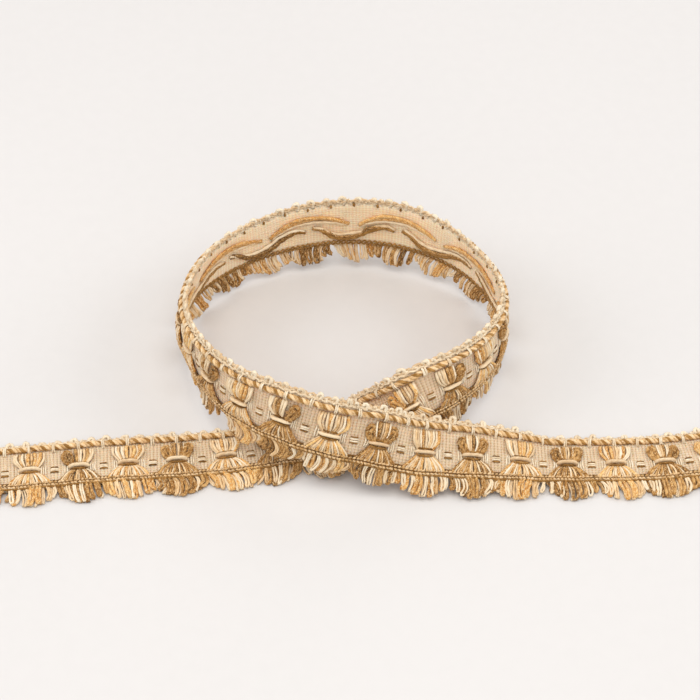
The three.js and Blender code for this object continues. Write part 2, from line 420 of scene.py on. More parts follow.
# %% Shader arithmetic
class Value:
    """A shader output that can be added, subtracted and multiplied."""

    def __init__(self, finish, socket):
        self.finish = finish
        self.socket = socket

    def sum_with(self, operation, first, second):
        return self.finish.node("ShaderNodeMath", {"operation": operation}, {0: first, 1: second})

    def __add__(self, other):
        return self.sum_with("ADD", self, other)

    def __mul__(self, other):
        return self.sum_with("MULTIPLY", self, other)

    def __sub__(self, other):
        return self.sum_with("SUBTRACT", self, other)

    def __rsub__(self, other):
        return self.sum_with("SUBTRACT", other, self)

    __radd__ = __add__
    __rmul__ = __mul__


# %% A finish
class Finish:
    """One material: its nodes are made by node(), and shade() closes it."""

    def __init__(self, name):
        self.material = bpy.data.materials.new(name)
        self.material.use_nodes = True
        self.tree = self.material.node_tree
        self.tree.nodes.clear()

    def node(self, kind, settings=None, inputs=None, output=0):
        made = self.tree.nodes.new(kind)
        for key, value in (settings or {}).items():
            setattr(made, key, value)
        for key, value in (inputs or {}).items():
            if isinstance(value, Value):
                self.tree.links.new(value.socket, made.inputs[key])
            else:
                made.inputs[key].default_value = value
        return Value(self, made.outputs[output])

    def attribute(self, name, output):
        return self.node("ShaderNodeAttribute", {"attribute_name": name}, output=output)

    def noise(self, where, stretch, detail=2.0):
        stretched = self.node(
            "ShaderNodeVectorMath", {"operation": "MULTIPLY"}, {0: where, 1: stretch})
        return self.node("ShaderNodeTexNoise", None,
                         {"Vector": stretched, "Scale": 1.0, "Detail": detail})

    def between(self, low, value, high):
        """0 under low, 1 over high, smooth in between."""
        return self.node("ShaderNodeMapRange", {"interpolation_type": "SMOOTHSTEP"},
                         {"Value": value, "From Min": low, "From Max": high})

    def blend(self, factor, below, above):
        return self.node("ShaderNodeMix", {"data_type": "RGBA"},
                         {0: factor, 6: below, 7: above}, output=2)

    def shade(self, colour, roughness, height, depth_mm, constants):
        bump = self.node("ShaderNodeBump", None,
                         {"Height": height, "Strength": 1.0, "Distance": depth_mm * MM})
        inputs = {"Base Color": colour, "Roughness": roughness, "Normal": bump, **constants}
        cloth = self.node("ShaderNodeBsdfPrincipled", None, inputs)
        surface = self.tree.nodes.new("ShaderNodeOutputMaterial")
        self.tree.links.new(cloth.socket, surface.inputs["Surface"])
        return self.material


def dyed(red, green, blue):
    """A dyer's colour card number, 0 to 255 for each primary, as light."""
    return tuple(((c / 255 + 0.055) / 1.055) ** 2.4 for c in (red, green, blue)) + (1.0,)


print("a middle grey, card 128, is light", round(dyed(128, 128, 128)[0], 3))

# %% [markdown]
# ## Yarn finishes
# The cream yarn is a smooth, slightly lustrous rayon, and the natural yarn of the heading is
# undyed cotton. The gold and brown yarns are fuller and softer, flecked by fibres that stand
# off the twist. In all of them long fine fibres run along the plies. Real hairs would take
# millions of strands, so the fibres are a noise in colour and bump. It is stretched along the
# straight yarn, and the Skein's attribute makes it follow every bend.

# %% Yarns
# dark, middle, light and fleck dyes, share of flecks, mottle, roughness and bump depth in mm
DYE_CARDS = {
    "cream": ((218, 184, 142), (237, 213, 177), (246, 231, 205), (251, 240, 218), 0.15, 0.9, 0.42, 0.25),
    "gold": ((184, 120, 46), (223, 161, 86), (243, 200, 132), (250, 222, 170), 0.45, 1.7, 0.6, 0.45),
    "brown": ((108, 66, 18), (165, 113, 53), (215, 166, 102), (240, 202, 146), 0.4, 1.8, 0.6, 0.45),
    "umber": ((96, 60, 14), (146, 102, 46), (184, 138, 78), (214, 170, 112), 0.2, 1.3, 0.55, 0.35),
    "tan": ((186, 142, 86), (230, 192, 142), (246, 216, 172), (252, 230, 196), 0.25, 1.2, 0.5, 0.3),
    "natural": ((224, 198, 162), (244, 226, 197), (252, 241, 220), (255, 247, 230), 0.2, 0.8, 0.55, 0.3),
}


def yarn_finish(name, dark, middle, light, fleck, flecks, mottle, roughness, depth):
    """A dyed yarn. Flecks is the share of it where the fleck colour shows, and mottle says
    how uneven the dye is."""
    finish = Finish(f"{name}_yarn")
    straight = finish.attribute("straight", 1)
    tone_and_shade = finish.attribute("tone_and_shade", 2)
    fibres = finish.noise(straight, (5.0, 5.0, 0.45))
    patches = finish.noise(straight, (0.7, 0.7, 0.55))
    tufts = finish.noise(straight, (2.6, 2.6, 1.7), detail=3.0)
    even = 0.075 + 0.5 * mottle
    # Dye mottle and fibres, plus the tone attribute, which also brings painted shade and light from the
    # fringe and the bow floats.
    dye_depth_and_shade = tone_and_shade * 0.45 + patches * mottle + fibres * 0.7 - even
    shaded = finish.blend(finish.between(0.1, dye_depth_and_shade, 0.5), dyed(*dark), dyed(*middle))
    lit = finish.blend(finish.between(0.5, dye_depth_and_shade, 0.95), shaded, dyed(*light))
    flecked = finish.between(0.62 - 0.3 * flecks, tufts, 0.74 - 0.3 * flecks)
    colour = finish.blend(flecked * min(1.0, 0.35 + flecks), lit, dyed(*fleck))
    height = fibres * 0.6 + tufts * (0.4 + flecks)
    return finish.shade(colour, roughness + 0.25 * fibres, height, depth,
                        {"Sheen Weight": 0.2, "Sheen Roughness": 0.45,
                         "Sheen Tint": (1.0, 0.8, 0.52, 1.0),
                         "Specular IOR Level": 0.3, "Specular Tint": (1.0, 0.84, 0.6, 1.0)})


YARNS = [yarn_finish(name, *card) for name, card in DYE_CARDS.items()]
DYE = {name: number for number, name in enumerate(DYE_CARDS)}
print("yarn finishes", [material.name for material in YARNS])

# %% [markdown]
# ## The tape
# The ground is a ribbed tape. Cords under its warp lie across it and raise ribs from edge to
# edge, and finer threads cross the ribs a little over a millimetre apart. Modelling every
# thread would cost more triangles than all the bows, so only the ribs are shape: a grid has a
# few columns to each. The crossing threads go into the material as colour and bump. The grid
# is made flat, laid along the path, and given its thickness by Solidify. Cotton lets light
# through, so the material scatters a little of it, and the back is paler than the face.

# %% The ground's finish
def ground_finish():
    finish = Finish("ribbed_ground")
    weave = finish.attribute("weave", 1)
    along = finish.node("ShaderNodeSeparateXYZ", None, {0: weave})
    across = Value(finish, along.socket.node.outputs["Y"])
    slub = finish.noise(weave, (1.4, 0.12, 0.5))
    drift = finish.noise(weave, (0.09, 0.16, 0.2))
    hairs = finish.noise(weave, (3.5, 9.0, 1.0))

    def wave(value, pitch):
        turns = value * (2 * math.pi / pitch)
        return finish.node("ShaderNodeMath", {"operation": "SINE"}, {0: turns}) * 0.5 + 0.5

    ribs = wave(along + slub * 0.12, CLOTH["rib"])
    threads = wave(across + slub * 0.3, CLOTH["thread"])
    # Painted shade: a narrow dark line in the trough of the rib wave stands for the shade in the grooves
    # between ribs.
    groove_shade = finish.between(0.0, ribs, 0.5)
    shade = 0.36 * groove_shade + 0.3 * threads + 0.45 * slub + 0.5 * drift - 0.4
    deep = finish.blend(finish.between(0.0, shade, 0.5), dyed(184, 152, 117),
                        dyed(214, 189, 158))
    face = finish.blend(finish.between(0.5, shade, 1.0), deep, dyed(228, 206, 179))
    back = finish.blend(finish.between(0.0, shade, 0.7), dyed(245, 205, 165),
                        dyed(255, 228, 196))
    colour = finish.blend(finish.attribute("behind", 2), face, back)
    height = 0.6 * ribs + 0.6 * threads + 0.2 * hairs
    return finish.shade(colour, 0.72 + 0.2 * hairs, height, 0.16,
                        {"Sheen Weight": 0.2, "Sheen Roughness": 0.5,
                         "Sheen Tint": (1.0, 0.86, 0.66, 1.0),
                         "Subsurface Weight": 0.5, "Subsurface Scale": 2.5 * MM,
                         "Subsurface Radius": (1.0, 0.7, 0.45),
                         "Specular IOR Level": 0.25})


GROUND = ground_finish()
print("ground finish", GROUND.name, "with", len(GROUND.node_tree.nodes), "nodes")

# %% Ribbed cloth
RIDGE = np.array([0.0, -0.04, -0.16, -0.04])  # the rise of a rib, column by column
ROWS = 8
SLACK = {"depth": 0.12, "within": 8}  # the tape is a little uneven, except near its edges


def weave_tape():
    """The tape as a ribbed grid, whose back is marked for the material."""
    columns = round(LENGTH / CLOTH["rib"]) * len(RIDGE)
    deselect()
    bpy.ops.mesh.primitive_grid_add(x_subdivisions=columns, y_subdivisions=ROWS, size=1)
    tape = bpy.context.object
    tape.name = tape.data.name = "ribbed_tape"
    points = np.zeros(len(tape.data.vertices) * 3)
    tape.data.vertices.foreach_get("co", points)
    points = points.reshape(-1, 3)
    ridge = RIDGE[np.round((points[:, 0] + 0.5) * columns).astype(int) % len(RIDGE)]
    x = ENDS[0] + (points[:, 0] + 0.5) * LENGTH
    v = CLOTH["foot"] + (points[:, 1] + 0.5) * (CLOTH["top"] - CLOTH["foot"])
    slack = SLACK["depth"] * np.sin(x * 0.9 + v * 0.35) * np.sin(x * 0.21)
    flat = points_of(x, v, CLOTH["face"] + ridge + slack * (np.abs(v) < SLACK["within"]))
    tape.data.vertices.foreach_set("co", lay(flat).astype(np.float32).ravel())
    weave = tape.data.attributes.new("weave", "FLOAT_VECTOR", "POINT")
    weave.data.foreach_set("vector", flat.astype(np.float32).ravel())
    tape.data.update()
    thickness = tape.modifiers.new("thickness", "SOLIDIFY")
    thickness.thickness = (CLOTH["face"] - CLOTH["back"]) * MM
    thickness.offset = -1
    bpy.ops.object.modifier_apply(modifier="thickness")
    behind = np.arange(len(tape.data.vertices)) >= len(flat)
    side = tape.data.attributes.new("behind", "FLOAT", "POINT")
    side.data.foreach_set("value", behind.astype(np.float32))
    tape.data.materials.append(GROUND)
    tape.data.shade_smooth()
    return tape


tape = hand_over(weave_tape(), "ground", "tape")

# %% [markdown]
# ## The heading cord
# Along the top lies a three-ply cord, a dark ply of umber between two of tan, so the umber
# shows as slanting strokes. The natural heading yarn crosses it twice in every repeat and
# pinches it to the tape. One screwed section would be round and even all along, so each ply
# is a yarn of its own, led along a helix that narrows under each crossing.

# %% Heading cord
HEADER = {"v": 9.75, "n": 1.8, "ply": 0.62, "helix": 0.62, "pitch": 4.4}


def pinch(x):
    """1 under a crossing of the heading cord, falling to 0 between crossings."""
    apart = np.abs((x / REPEAT * 2 + 0.5) % 1 - 0.5) * REPEAT / 2
    return np.exp(-((apart / 1.1) ** 2))


def lay_header():
    skein = Skein(11)
    line = straight_run(HEADER["v"], HEADER["n"], 0.5)
    x = line[0, :, 0]
    squeeze = 1 - 0.45 * pinch(x)
    wander = 0.12 * np.sin(x * 0.31) + 0.1 * np.sin(x * 0.83)
    plies = (("umber", 0.6), ("tan", -0.2), ("tan", 0.6))
    for part, (dye, shade) in enumerate(plies):
        turned = part * 2 * math.pi / 3 + 2 * math.pi * x / HEADER["pitch"] + 0.5 * np.sin(x * 0.23)
        ply = line.copy()
        ply[0, :, 1] += wander + HEADER["helix"] * squeeze * np.cos(turned)
        ply[0, :, 2] += HEADER["helix"] * squeeze * np.sin(turned) - 0.35 * pinch(x)
        radius = HEADER["ply"] * (0.5 + 0.5 * squeeze)
        skein.work("ply", ply, radius, DYE[dye], rough=0.12, shade=shade)
    return skein.mesh("heading_cord")


hand_over(lay_header(), "header", "header_cord")


# %% Crossings
def cross_header():
    """Two natural turns over the cord at every half repeat."""
    skein = Skein(12)
    x = np.repeat(CROSSINGS, 2) + np.tile([-0.3, 0.3], len(CROSSINGS))
    x = x + skein.chance.normal(0, 0.06, len(x))
    v_of = np.array([11.5, 11.2, 10.7, 9.65, 8.6, 8.05, 7.7])
    n_of = np.array([0.7, 1.4, 2.3, 2.8, 2.3, 1.4, 0.8])
    slant = np.linspace(-0.15, 0.15, len(v_of))
    knots = points_of(x[:, None] + slant * skein.chance.normal(0, 1, (len(x), 1)), v_of, n_of)
    skein.work("fine", drawn(knots, 12), 0.38, DYE["natural"], shade=-0.3)
    return skein.mesh("heading_crossings")


hand_over(cross_header(), "picot")

# %% [markdown]
# ## Picots
# The natural heading yarn stands up above the edge in loops, a large one and a small one by
# turns. One loop could be copied along the edge by an Array modifier, but real picots never
# match. So each is led on its own nine knots: it starts close together at the edge, widens
# and closes over the top, and leans and tips a little by chance. Four soft yarns run in waves
# along the edge, and fill the gaps between the loops.

# %% Picot edge
PICOT = {"foot": 10.6, "per_repeat": 6, "big": 0.84, "small": 0.6, "run": 0.56}


def loop_picots():
    skein = Skein(13)
    pitch = REPEAT / PICOT["per_repeat"]
    count = TUFTS * PICOT["per_repeat"]
    x = ENDS[0] + pitch * (np.arange(count) + 0.5)
    big = np.arange(count) % 2 == 0
    yarn = np.where(big, PICOT["big"], PICOT["small"])
    half = np.where(big, 0.95, 0.5) + skein.chance.normal(0, 0.12, count)
    tip = np.where(big, 13.7, 12.7) + skein.chance.normal(0, 0.28, count)
    lean = skein.chance.normal(0, 0.3, count)
    swing = skein.chance.normal(0.35, 0.4, count)
    wide = np.array([-0.45, -0.6, -1.0, -0.75, 0.0, 0.75, 1.0, 0.6, 0.45])
    high = np.array([0.0, 0.25, 0.6, 0.93, 1.0, 0.93, 0.6, 0.25, 0.0])
    deep = np.array([0.2, 0.1, 0.0, 0.1, 0.2, 0.3, 0.4, 0.5, 0.6])
    rise = high * (tip - PICOT["foot"])[:, None]
    knots = points_of(x[:, None] + half[:, None] * wide + lean[:, None] * high,
                      PICOT["foot"] + rise, deep + swing[:, None] * high * 0.6)
    skein.work("fine", drawn(knots, 18), yarn[:, None], DYE["natural"], rough=0.1, shade=-0.15)
    runs = (("natural", 11.1, 0.35, 0.15, 0.0), ("natural", 11.6, 0.95, 0.35, 2.0),
            ("cream", 12.1, 0.1, 0.3, 1.0), ("cream", 12.7, 0.1, 0.4, 3.0))
    for dye, v, n, wave, start in runs:
        edge = straight_run(v, n, 0.7)
        edge[0, :, 1] += wave * np.sin(2 * math.pi * edge[0, :, 0] / pitch + start)
        edge[0, :, 2] += wave * np.cos(4.4 * edge[0, :, 0] + start)
        skein.work("soft", edge, PICOT["run"], DYE[dye], rough=0.14, shade=-0.5)
    return skein.mesh("picot_loops")


hand_over(loop_picots(), "picot", "picot_edge")

# %% [markdown]
# ## The chain
# Two rows of chain stitch hold the yarns down where the bows end and the fringe begins. Each
# link of tan thread shows as a small bead, and three umber threads run above, between and
# below the two rows. They are the chain's own dark thread, and laid low and dark they also
# stand for painted shade in the grooves beside the beads. A whole chain of interlocked loops
# would hide most of itself, so only what shows is made: a bead is a very short yarn, thick in
# its middle and drawn out at both ends, and the two rows slant opposite ways. Two fine umber
# threads show on the back.

# %% Chain stitch
CHAIN = {"rows": (-7.95, -9.2), "n": 2.2, "bead": 0.47, "half_link": 0.62, "pitch": 1.5}
CHAIN_BACK = {"rows": (-8.0, -9.1), "n": -0.35, "thread": 0.42, "pitch": 2.2}


def stitch_chain():
    skein = Skein(14)
    upper, lower = CHAIN["rows"]
    half_row = (upper - lower) / 2
    for row, (v, slant) in enumerate(((upper, 0.2), (lower, -0.2))):
        x = np.arange(ENDS[0] + 0.8, ENDS[1] - 0.8, CHAIN["pitch"])
        x = x + 0.35 * row + skein.chance.normal(0, 0.1, len(x))
        share = np.array([-1.0, -0.5, 0.0, 0.5, 1.0])
        bead = points_of(x[:, None] + CHAIN["half_link"] * share,
                         v + 0.12 * np.sin(0.4 * x)[:, None] + slant * share,
                         CHAIN["n"] - 0.45 * share**2)
        plump = CHAIN["bead"] * np.array([0.45, 0.9, 1.0, 0.9, 0.45])
        size = skein.chance.uniform(0.8, 1.15, (len(x), 1))
        skein.work("thin", bead, plump * size, DYE["tan"], rough=0.08, shade=-0.25)
    # Umber threads: the chain's dark thread, also standing for painted shade in the grooves above,
    # between and below the bead rows.
    for v, radius in ((upper + half_row, 0.42), ((upper + lower) / 2, 0.4),
                      (lower - half_row, 0.42)):
        line = straight_run(v, CHAIN["n"] - 0.4, 0.6)
        x = line[0, :, 0]
        line[0, :, 1] += 0.12 * np.sin(x * 0.4) + 0.1 * np.sin(2 * math.pi * x / CHAIN["pitch"])
        skein.work("thin", line, radius, DYE["umber"], rough=0.12, shade=-0.3)
    for v, start in zip(CHAIN_BACK["rows"], (0.0, 2.0)):
        under = straight_run(v, CHAIN_BACK["n"], 0.5)
        under[0, :, 1] += 0.35 * np.sin(2 * math.pi * under[0, :, 0] / CHAIN_BACK["pitch"] + start)
        skein.work("fine", under, CHAIN_BACK["thread"], DYE["umber"], rough=0.1)
    return skein.mesh("chain_stitch")


hand_over(stitch_chain(), "chain", "chain_band")

# %% [markdown]
# ## The looped fringe
# Below the chain the yarns hang in loops, cream among the colour of the bow above, longest
# under each bow and shortest between bows, which scallops the edge. Hair strands would give
# single ends and not loops, so each loop is led on nine knots. No two fall alike: each leans,
# bends and turns a little, and its two legs lie close together. Where the trim stands up, the
# tips also swing, inwards along the back of the loop and outwards beside the crossing. The
# short words give the loops from left to right: c is cream, g gold, b brown and t tan.

# %% The order of the loops
FRINGE = {"top": -8.9, "reach": 18.6, "notch": 14.4, "swell": 1.8}
FRINGE_ORDER = {"brown": ("bcbcbbcbcbtcbb", "cbcbbtcbcbbcbb"),
                "gold": ("cgctcgccgtcgcg", "tcgcctcgcgctcc")}
DYE_OF = {"c": DYE["cream"], "g": DYE["gold"], "b": DYE["brown"], "t": DYE["tan"]}
TABLE_DEPTH = -HALF_TAPE  # where the table is under a tail that lies flat
# places in repeats, and how far a loop that hangs 10 mm below the chain swings to the back
SWING = ((8, 0), (9.5, -0.6), (11, 0), (13, 2.8), (19, 2.8), (20.3, 5), (21.3, 3), (22, 0),
         (23, -2.2), (24, -2.2), (25, 0), (26, 1.0), (27.5, 1.2), (29, 0))


def colour_of(tuft):
    return "gold" if tuft % 2 else "brown"


def fringe_places(skein):
    """Each loop: its x, its offset from the bow, its scallop's sway and curl, dye and layer."""
    rows = []
    for tuft, waist in enumerate(WAISTS):
        order = FRINGE_ORDER[colour_of(tuft)][skein.chance.integers(2)]
        if skein.chance.random() < 0.5:
            order = order[::-1]
        sway, curl = skein.chance.normal((0.2, 0.3), (1.3, 0.9))
        for place, letter in enumerate(order):
            offset = ((place + 0.5) / len(order) - 0.5) * REPEAT
            rows.append((waist + offset, offset, sway, curl, DYE_OF[letter], place % 2))
    return np.array(rows).T


print("loops to a scallop", {colour: len(orders[0]) for colour, orders in FRINGE_ORDER.items()})


# %% Fringe
def hang_fringe():
    skein = Skein(15)
    x, offset, sway, curl, dye, layer = fringe_places(skein)
    count = len(x)
    jitter = skein.chance.normal
    near = 1 - np.abs(2 * offset / REPEAT) ** FRINGE["swell"]
    reach = FRINGE["notch"] + (FRINGE["reach"] - FRINGE["notch"]) * near
    slim = (dye == DYE["cream"]) | (dye == DYE["tan"])
    thread = np.where(slim, 0.5, 0.74) + jitter(0, 0.04, count)
    reach = -(reach - thread) + np.abs(jitter(0, 0.55, count))
    gape = np.where(slim, 0.72, 1.2) + jitter(0, 0.18, count)
    lean = offset * -0.05 + sway + jitter(0, 0.6, count)
    belly = curl + jitter(0, 0.55, count)
    turn = jitter(0, 0.5, count)
    down = np.array([0.0, 0.3, 0.62, 0.9, 1.0, 0.9, 0.62, 0.3, 0.0])
    apart = np.array([-0.45, -0.5, -0.55, -0.5, 0.0, 0.5, 0.55, 0.5, 0.45])
    deep = np.array([1.2, 0.75, 0.1, -0.1, -0.15, -0.1, 0.1, 0.75, 1.2])
    bow = np.sin(math.pi * down)
    swing = np.interp(x / REPEAT, *np.array(SWING).T)
    knots = points_of(
        x[:, None] + gape[:, None] * apart + lean[:, None] * down + belly[:, None] * bow,
        FRINGE["top"] + (reach - FRINGE["top"])[:, None] * down,
        deep + np.where(layer > 0, 0.55, -0.2)[:, None] * (1 - 0.4 * down)
        + turn[:, None] * apart * down)
    knots[:, 1:-1, :2] += jitter(0, 0.13, (count, len(down) - 2, 2))
    knots[..., 2] = np.maximum(knots[..., 2], TABLE_DEPTH + 0.02 + thread[:, None])
    knots[..., 2] -= swing[:, None] * ((FRINGE["top"] - reach)[:, None] / 10 * down) ** 1.6
    for number in DYE_OF.values():
        mine = dye == number
        bobbin = "soft" if slim[mine][0] else "plump"
        # Painted shade: loops of the back layer are darkened as if shaded by the front layer, and front
        # loops are lightened a little.
        shade = np.where(layer[mine] > 0, 0.12, -0.36)
        skein.work(bobbin, drawn(knots[mine], 20), thread[mine][:, None], number,
                   rough=0.07, shade=shade)
    return skein.mesh("looped_fringe")


hand_over(hang_fringe(), "fringe", "fringe")

# %% [markdown]
# ## The bows
# A bow is a bundle of floats: yarns that pass over the tape without being woven in. Above the
# tie they spread to the heading, and below it they fan out to the chain. In the brown bows the
# outer yarn is worked up into a round ear at one side or both, with cream between. The gold
# bows are looser and lighter, mostly cream with a few gold floats, and now and then an ear.
# One solid fan would lose the gaps and shadows between the yarns, so every float is a yarn of
# its own. The short words give them from left to right, with E for an ear.

# %% Orders and sizes of the bows
UPPER_ORDER = {
    "brown": ("Ebcctbcc", "ccctbbcE", "EcctbccE", "EcbbctbcE", "cctbccE"),
    "gold": ("gcggctccgcc", "cctccgtgcgc", "ctccgcctccg", "Egcctccgc", "cccgctggcc"),
}
LOWER_ORDER = {
    "brown": ("bctbcbbtcbbcbtbcb", "bbcbtbcbbcbtbbcbb"),
    "gold": ("cgctcgcctgccgctgc", "gcctgccgctccgctcg"),
}
WIDTH_OF = {"c": 1.05, "t": 1.1, "g": 1.4, "b": 1.4, "E": 4.4}
UPPER = {"half": 6.2, "reach": 8.8, "full": 1.18, "shares": (0.92, 0.98)}
LOWER = {"half": 8.3, "reach": 7.5, "full": 1.08, "shares": (0.55, 1.0)}
WAIST_HALF = 3.1
EAR = {"middle": np.array([4.1, 4.7]), "yarn": 0.82, "outline": np.array([
    [1.9, 0.5], [2.1, 2.3], [2.4, 4.7], [3.1, 6.7], [4.4, 7.6], [5.7, 6.8], [5.8, 4.6],
    [4.6, 2.3], [2.8, 0.6]])}
print("orders above the tie", {colour: len(orders) for colour, orders in UPPER_ORDER.items()})


# %% Floats of a bow
def packed(order, half):
    """Middles and widths of yarns that lie side by side between -half and half."""
    widths = np.array([WIDTH_OF[letter] for letter in order])
    widths = widths * 2 * half / widths.sum()
    return np.cumsum(widths) - widths / 2 - half, widths


def work_floats(skein, waist, order, sizes, side):
    """The floats of one half of a bow: side is 1 above the tie and -1 below it."""
    ends, widths = packed(order, sizes["half"])
    plain = [k for k, letter in enumerate(order) if letter != "E"]
    taper = sizes["full"] * np.interp(np.linspace(0, 1, 12), [0, 0.2, 0.5, 1], [0.6, 0.66, 0.95, 1])
    middle_share, end_share = sizes["shares"]
    for letter in "cgbt":
        mine = [k for k in plain if order[k] == letter]
        if not mine:
            continue
        end, width = ends[mine], widths[mine]
        near = end * WAIST_HALF / sizes["half"]
        bend = skein.chance.normal(0, 0.22, len(mine))
        lift = skein.chance.uniform(0, 0.35, len(mine)) + 0.3 * (np.array(mine) % 2)
        middle = near * (1 - middle_share) + end * middle_share + bend
        x = np.stack([near * 0.9, near * 1.1, middle, end + bend * 0.6, end * end_share], 1)
        v = sizes["reach"] * np.array([-0.03, 0.15, 0.5, 0.84, 1.0])
        n = np.array([1.1, 1.35, 2.1, 1.8, 1.2]) + np.outer(lift, [0.2, 0.5, 1.0, 0.4, 0.0])
        knots = points_of(waist + x, TIE_LINE + side * v, n)
        radius = width[:, None] * 0.5 * taper
        bobbin = "soft" if letter in "ct" else "plump"
        # Painted shade and light: floats that lie low under their neighbours are darkened, raised ones
        # lightened.
        skein.work(bobbin, drawn(knots, 12), radius, DYE_OF[letter], rough=0.08,
                   shade=1.3 * (lift - 0.33))


places, widths = packed(UPPER_ORDER["brown"][0], UPPER["half"])
print("floats of one bow at", places.round(1), "widths", widths.round(1))


# %% Ears, and the whole bow
def work_ear(skein, waist, side, dye):
    """Two loops, one inside the other, that leave the tie, round the ear and come back."""
    hold = np.array([0, 0.6, 1, 1, 1, 1, 1, 0.6, 0])[:, None]
    size = skein.chance.uniform(0.93, 1.06)
    rows = []
    for share, depth in ((1.0, 1.9), (0.42, 2.6)):
        gathered = EAR["middle"] + share * (EAR["outline"] - EAR["middle"])
        loop = size * (EAR["outline"] * (1 - hold) + gathered * hold)
        loop = loop + skein.chance.normal(0, 0.13, loop.shape)
        n = 1.7 + (depth - 1.7) * hold[:, 0]
        rows.append(points_of(waist + side * loop[:, 0], TIE_LINE + loop[:, 1], n))
    skein.work("plump", drawn(rows, 28), EAR["yarn"], dye, rough=0.16, shade=-0.05)


def tie_bow(tuft):
    skein = Skein(200 + tuft)
    colour = colour_of(tuft)
    waist = WAISTS[tuft]
    upper = UPPER_ORDER[colour][skein.chance.integers(len(UPPER_ORDER[colour]))]
    lower = LOWER_ORDER[colour][skein.chance.integers(len(LOWER_ORDER[colour]))]
    work_floats(skein, waist, upper, UPPER, 1)
    work_floats(skein, waist, lower, LOWER, -1)
    for side, place in ((-1, 0), (1, -1)):
        if upper[place] == "E":
            work_ear(skein, waist, side, DYE[colour])
    piece = skein.mesh(f"bow_{tuft + 1:02d}")
    hand_over(piece, f"tuft_{colour}", f"fan_{tuft + 1:02d}")


for tuft in range(TUFTS):
    tie_bow(tuft)

# %% [markdown]
# ## The tie
# A flat cream yarn passes over each bow and pins its waist. A thin umber yarn runs above it
# and a stouter one below, and both show as dark lines at the bars and as dashes between them,
# with two natural stitches between the dashes. Small upright stitches stand at both sides of a
# bow. These yarns could run on behind the tape, but nothing of that shows, so each one is a
# short float whose ends dive into the tape.

# %% Tie bars, dashes and stitches
def floated(half, v, low, high, arch=0.0):
    """Knots of one float over each place, from the tape up to its height and down again."""
    share = np.array([-1.0, -0.93, -0.6, 0.0, 0.6, 0.93, 1.0])
    height = np.array([0.0, 0.55, 0.95, 1.0, 0.95, 0.55, 0.0])
    bend = arch * (1 - share**2)
    return share * half, v + bend, low + (high - low) * height


def tie_waists():
    skein = Skein(16)
    between = WAISTS[:-1] + REPEAT / 2
    bar = np.interp(np.linspace(-1, 1, 16), [-1, -0.9, 0.9, 1], [0.7, 1.02, 1.02, 0.7])
    lens = np.interp(np.linspace(-1, 1, 14), [-1, -0.4, 0.4, 1], [0.24, 0.66, 0.66, 0.24])
    work = (
        (WAISTS, "ply", "cream", bar, floated(3.5, 0.35, 1.0, 2.5, 0.12), 0.66, -0.45),
        (WAISTS, "fine", "umber", 0.5 + 0 * lens, floated(3.4, 1.7, 1.0, 2.0, 0.1), 1.0, -0.2),
        (WAISTS, "plump", "umber", lens, floated(3.4, -0.9, 1.0, 2.25, -0.3), 0.8, -0.2),
        (between, "fine", "umber", np.full(8, 0.26), floated(1.4, 1.2, 0.8, 1.3), 1.0, -0.1),
        (between, "fine", "umber", np.full(8, 0.38), floated(1.4, -1.15, 0.8, 1.3), 1.0, -0.1),
        (between, "soft", "natural", np.full(8, 0.4), floated(1.5, 0.42, 0.7, 1.2), 1.0, -0.3),
        (between, "soft", "natural", np.full(8, 0.4), floated(1.5, -0.35, 0.7, 1.2), 1.0, -0.3),
    )
    for centres, bobbin, dye, radius, (x, v, n), thick, shade in work:
        knots = points_of(centres[:, None] + x, v, n)
        knots[..., 1] += TIE_LINE + skein.chance.normal(0, 0.06, (len(centres), 1))
        skein.work(bobbin, drawn(knots, len(radius)), radius, DYE[dye], thick=thick, rough=0.03,
                   shade=shade)
    beside = np.array([-5.3, -4.4, 4.4, 5.3, 6.1])
    x = (WAISTS[:, None] + beside).ravel()
    v_of = TIE_LINE + np.array([-2.0, -1.7, 0.0, 1.8, 2.1])
    n_of = np.array([0.7, 1.1, 1.25, 1.1, 0.7])
    knots = points_of(x[:, None] + skein.chance.normal(0, 0.12, (len(x), 5)), v_of, n_of)
    skein.work("fine", drawn(knots, 8), 0.32, DYE["natural"])
    return skein.mesh("tie_yarns")


hand_over(tie_waists(), "tie", "tie_cord")

# %% [markdown]
# ## The back
# Behind the tape the coloured yarns travel from one bow of their own colour to the next in
# long loose arcs. Gold rises and dips to its bows, brown and umber hang the other way, each
# with a cream yarn beside them, and a small umber knot shows under every heading crossing. A
# sine would make them too regular, so the shape of an arc is eight knots that chance moves a
# little. The yarns lie on the back of the tape, a little flattened, and where the trim lies
# on the table they are pressed up against the tape.

# %% Arcs
FLATTENED = 0.8
LOOP = {"middle": 17, "half": 11}  # repeats; beyond it the trim lies on the table
ARC = {
    "share": np.array([-1.0, -0.73, -0.4, -0.13, 0.2, 0.5, 0.83, 1.0]),
    "gold": np.array([1.0, 3.3, 5.0, 5.7, 5.7, 4.9, 2.6, 0.3]),
    "brown": np.array([-1.0, 0.2, -1.8, -4.5, -5.7, -4.8, -0.7, 0.2]),
}


def float_arcs(centres, half, colour, apart, depth, skein):
    """Arcs about each centre, whose ends dive into the tape. Apart sets one beside another."""
    into = np.array([0.6, 0.0, 0.0, 0.0, 0.0, 0.0, 0.0, 0.6])
    share = ARC["share"]
    x = centres[:, None] + share * half + skein.chance.normal(0, 0.3, (len(centres), 8))
    skew = skein.chance.normal(0, 0.6, (len(centres), 1)) * (1 - share**2)
    v = ARC[colour] + apart * (1 - 0.8 * share**2) + 0.14 * skein.chance.normal(size=x.shape)
    return points_of(x + skew, v, depth + into)


print("a gold arc swings over", float(np.ptp(ARC["gold"])), "mm and a brown one over",
      float(np.ptp(ARC["brown"])))


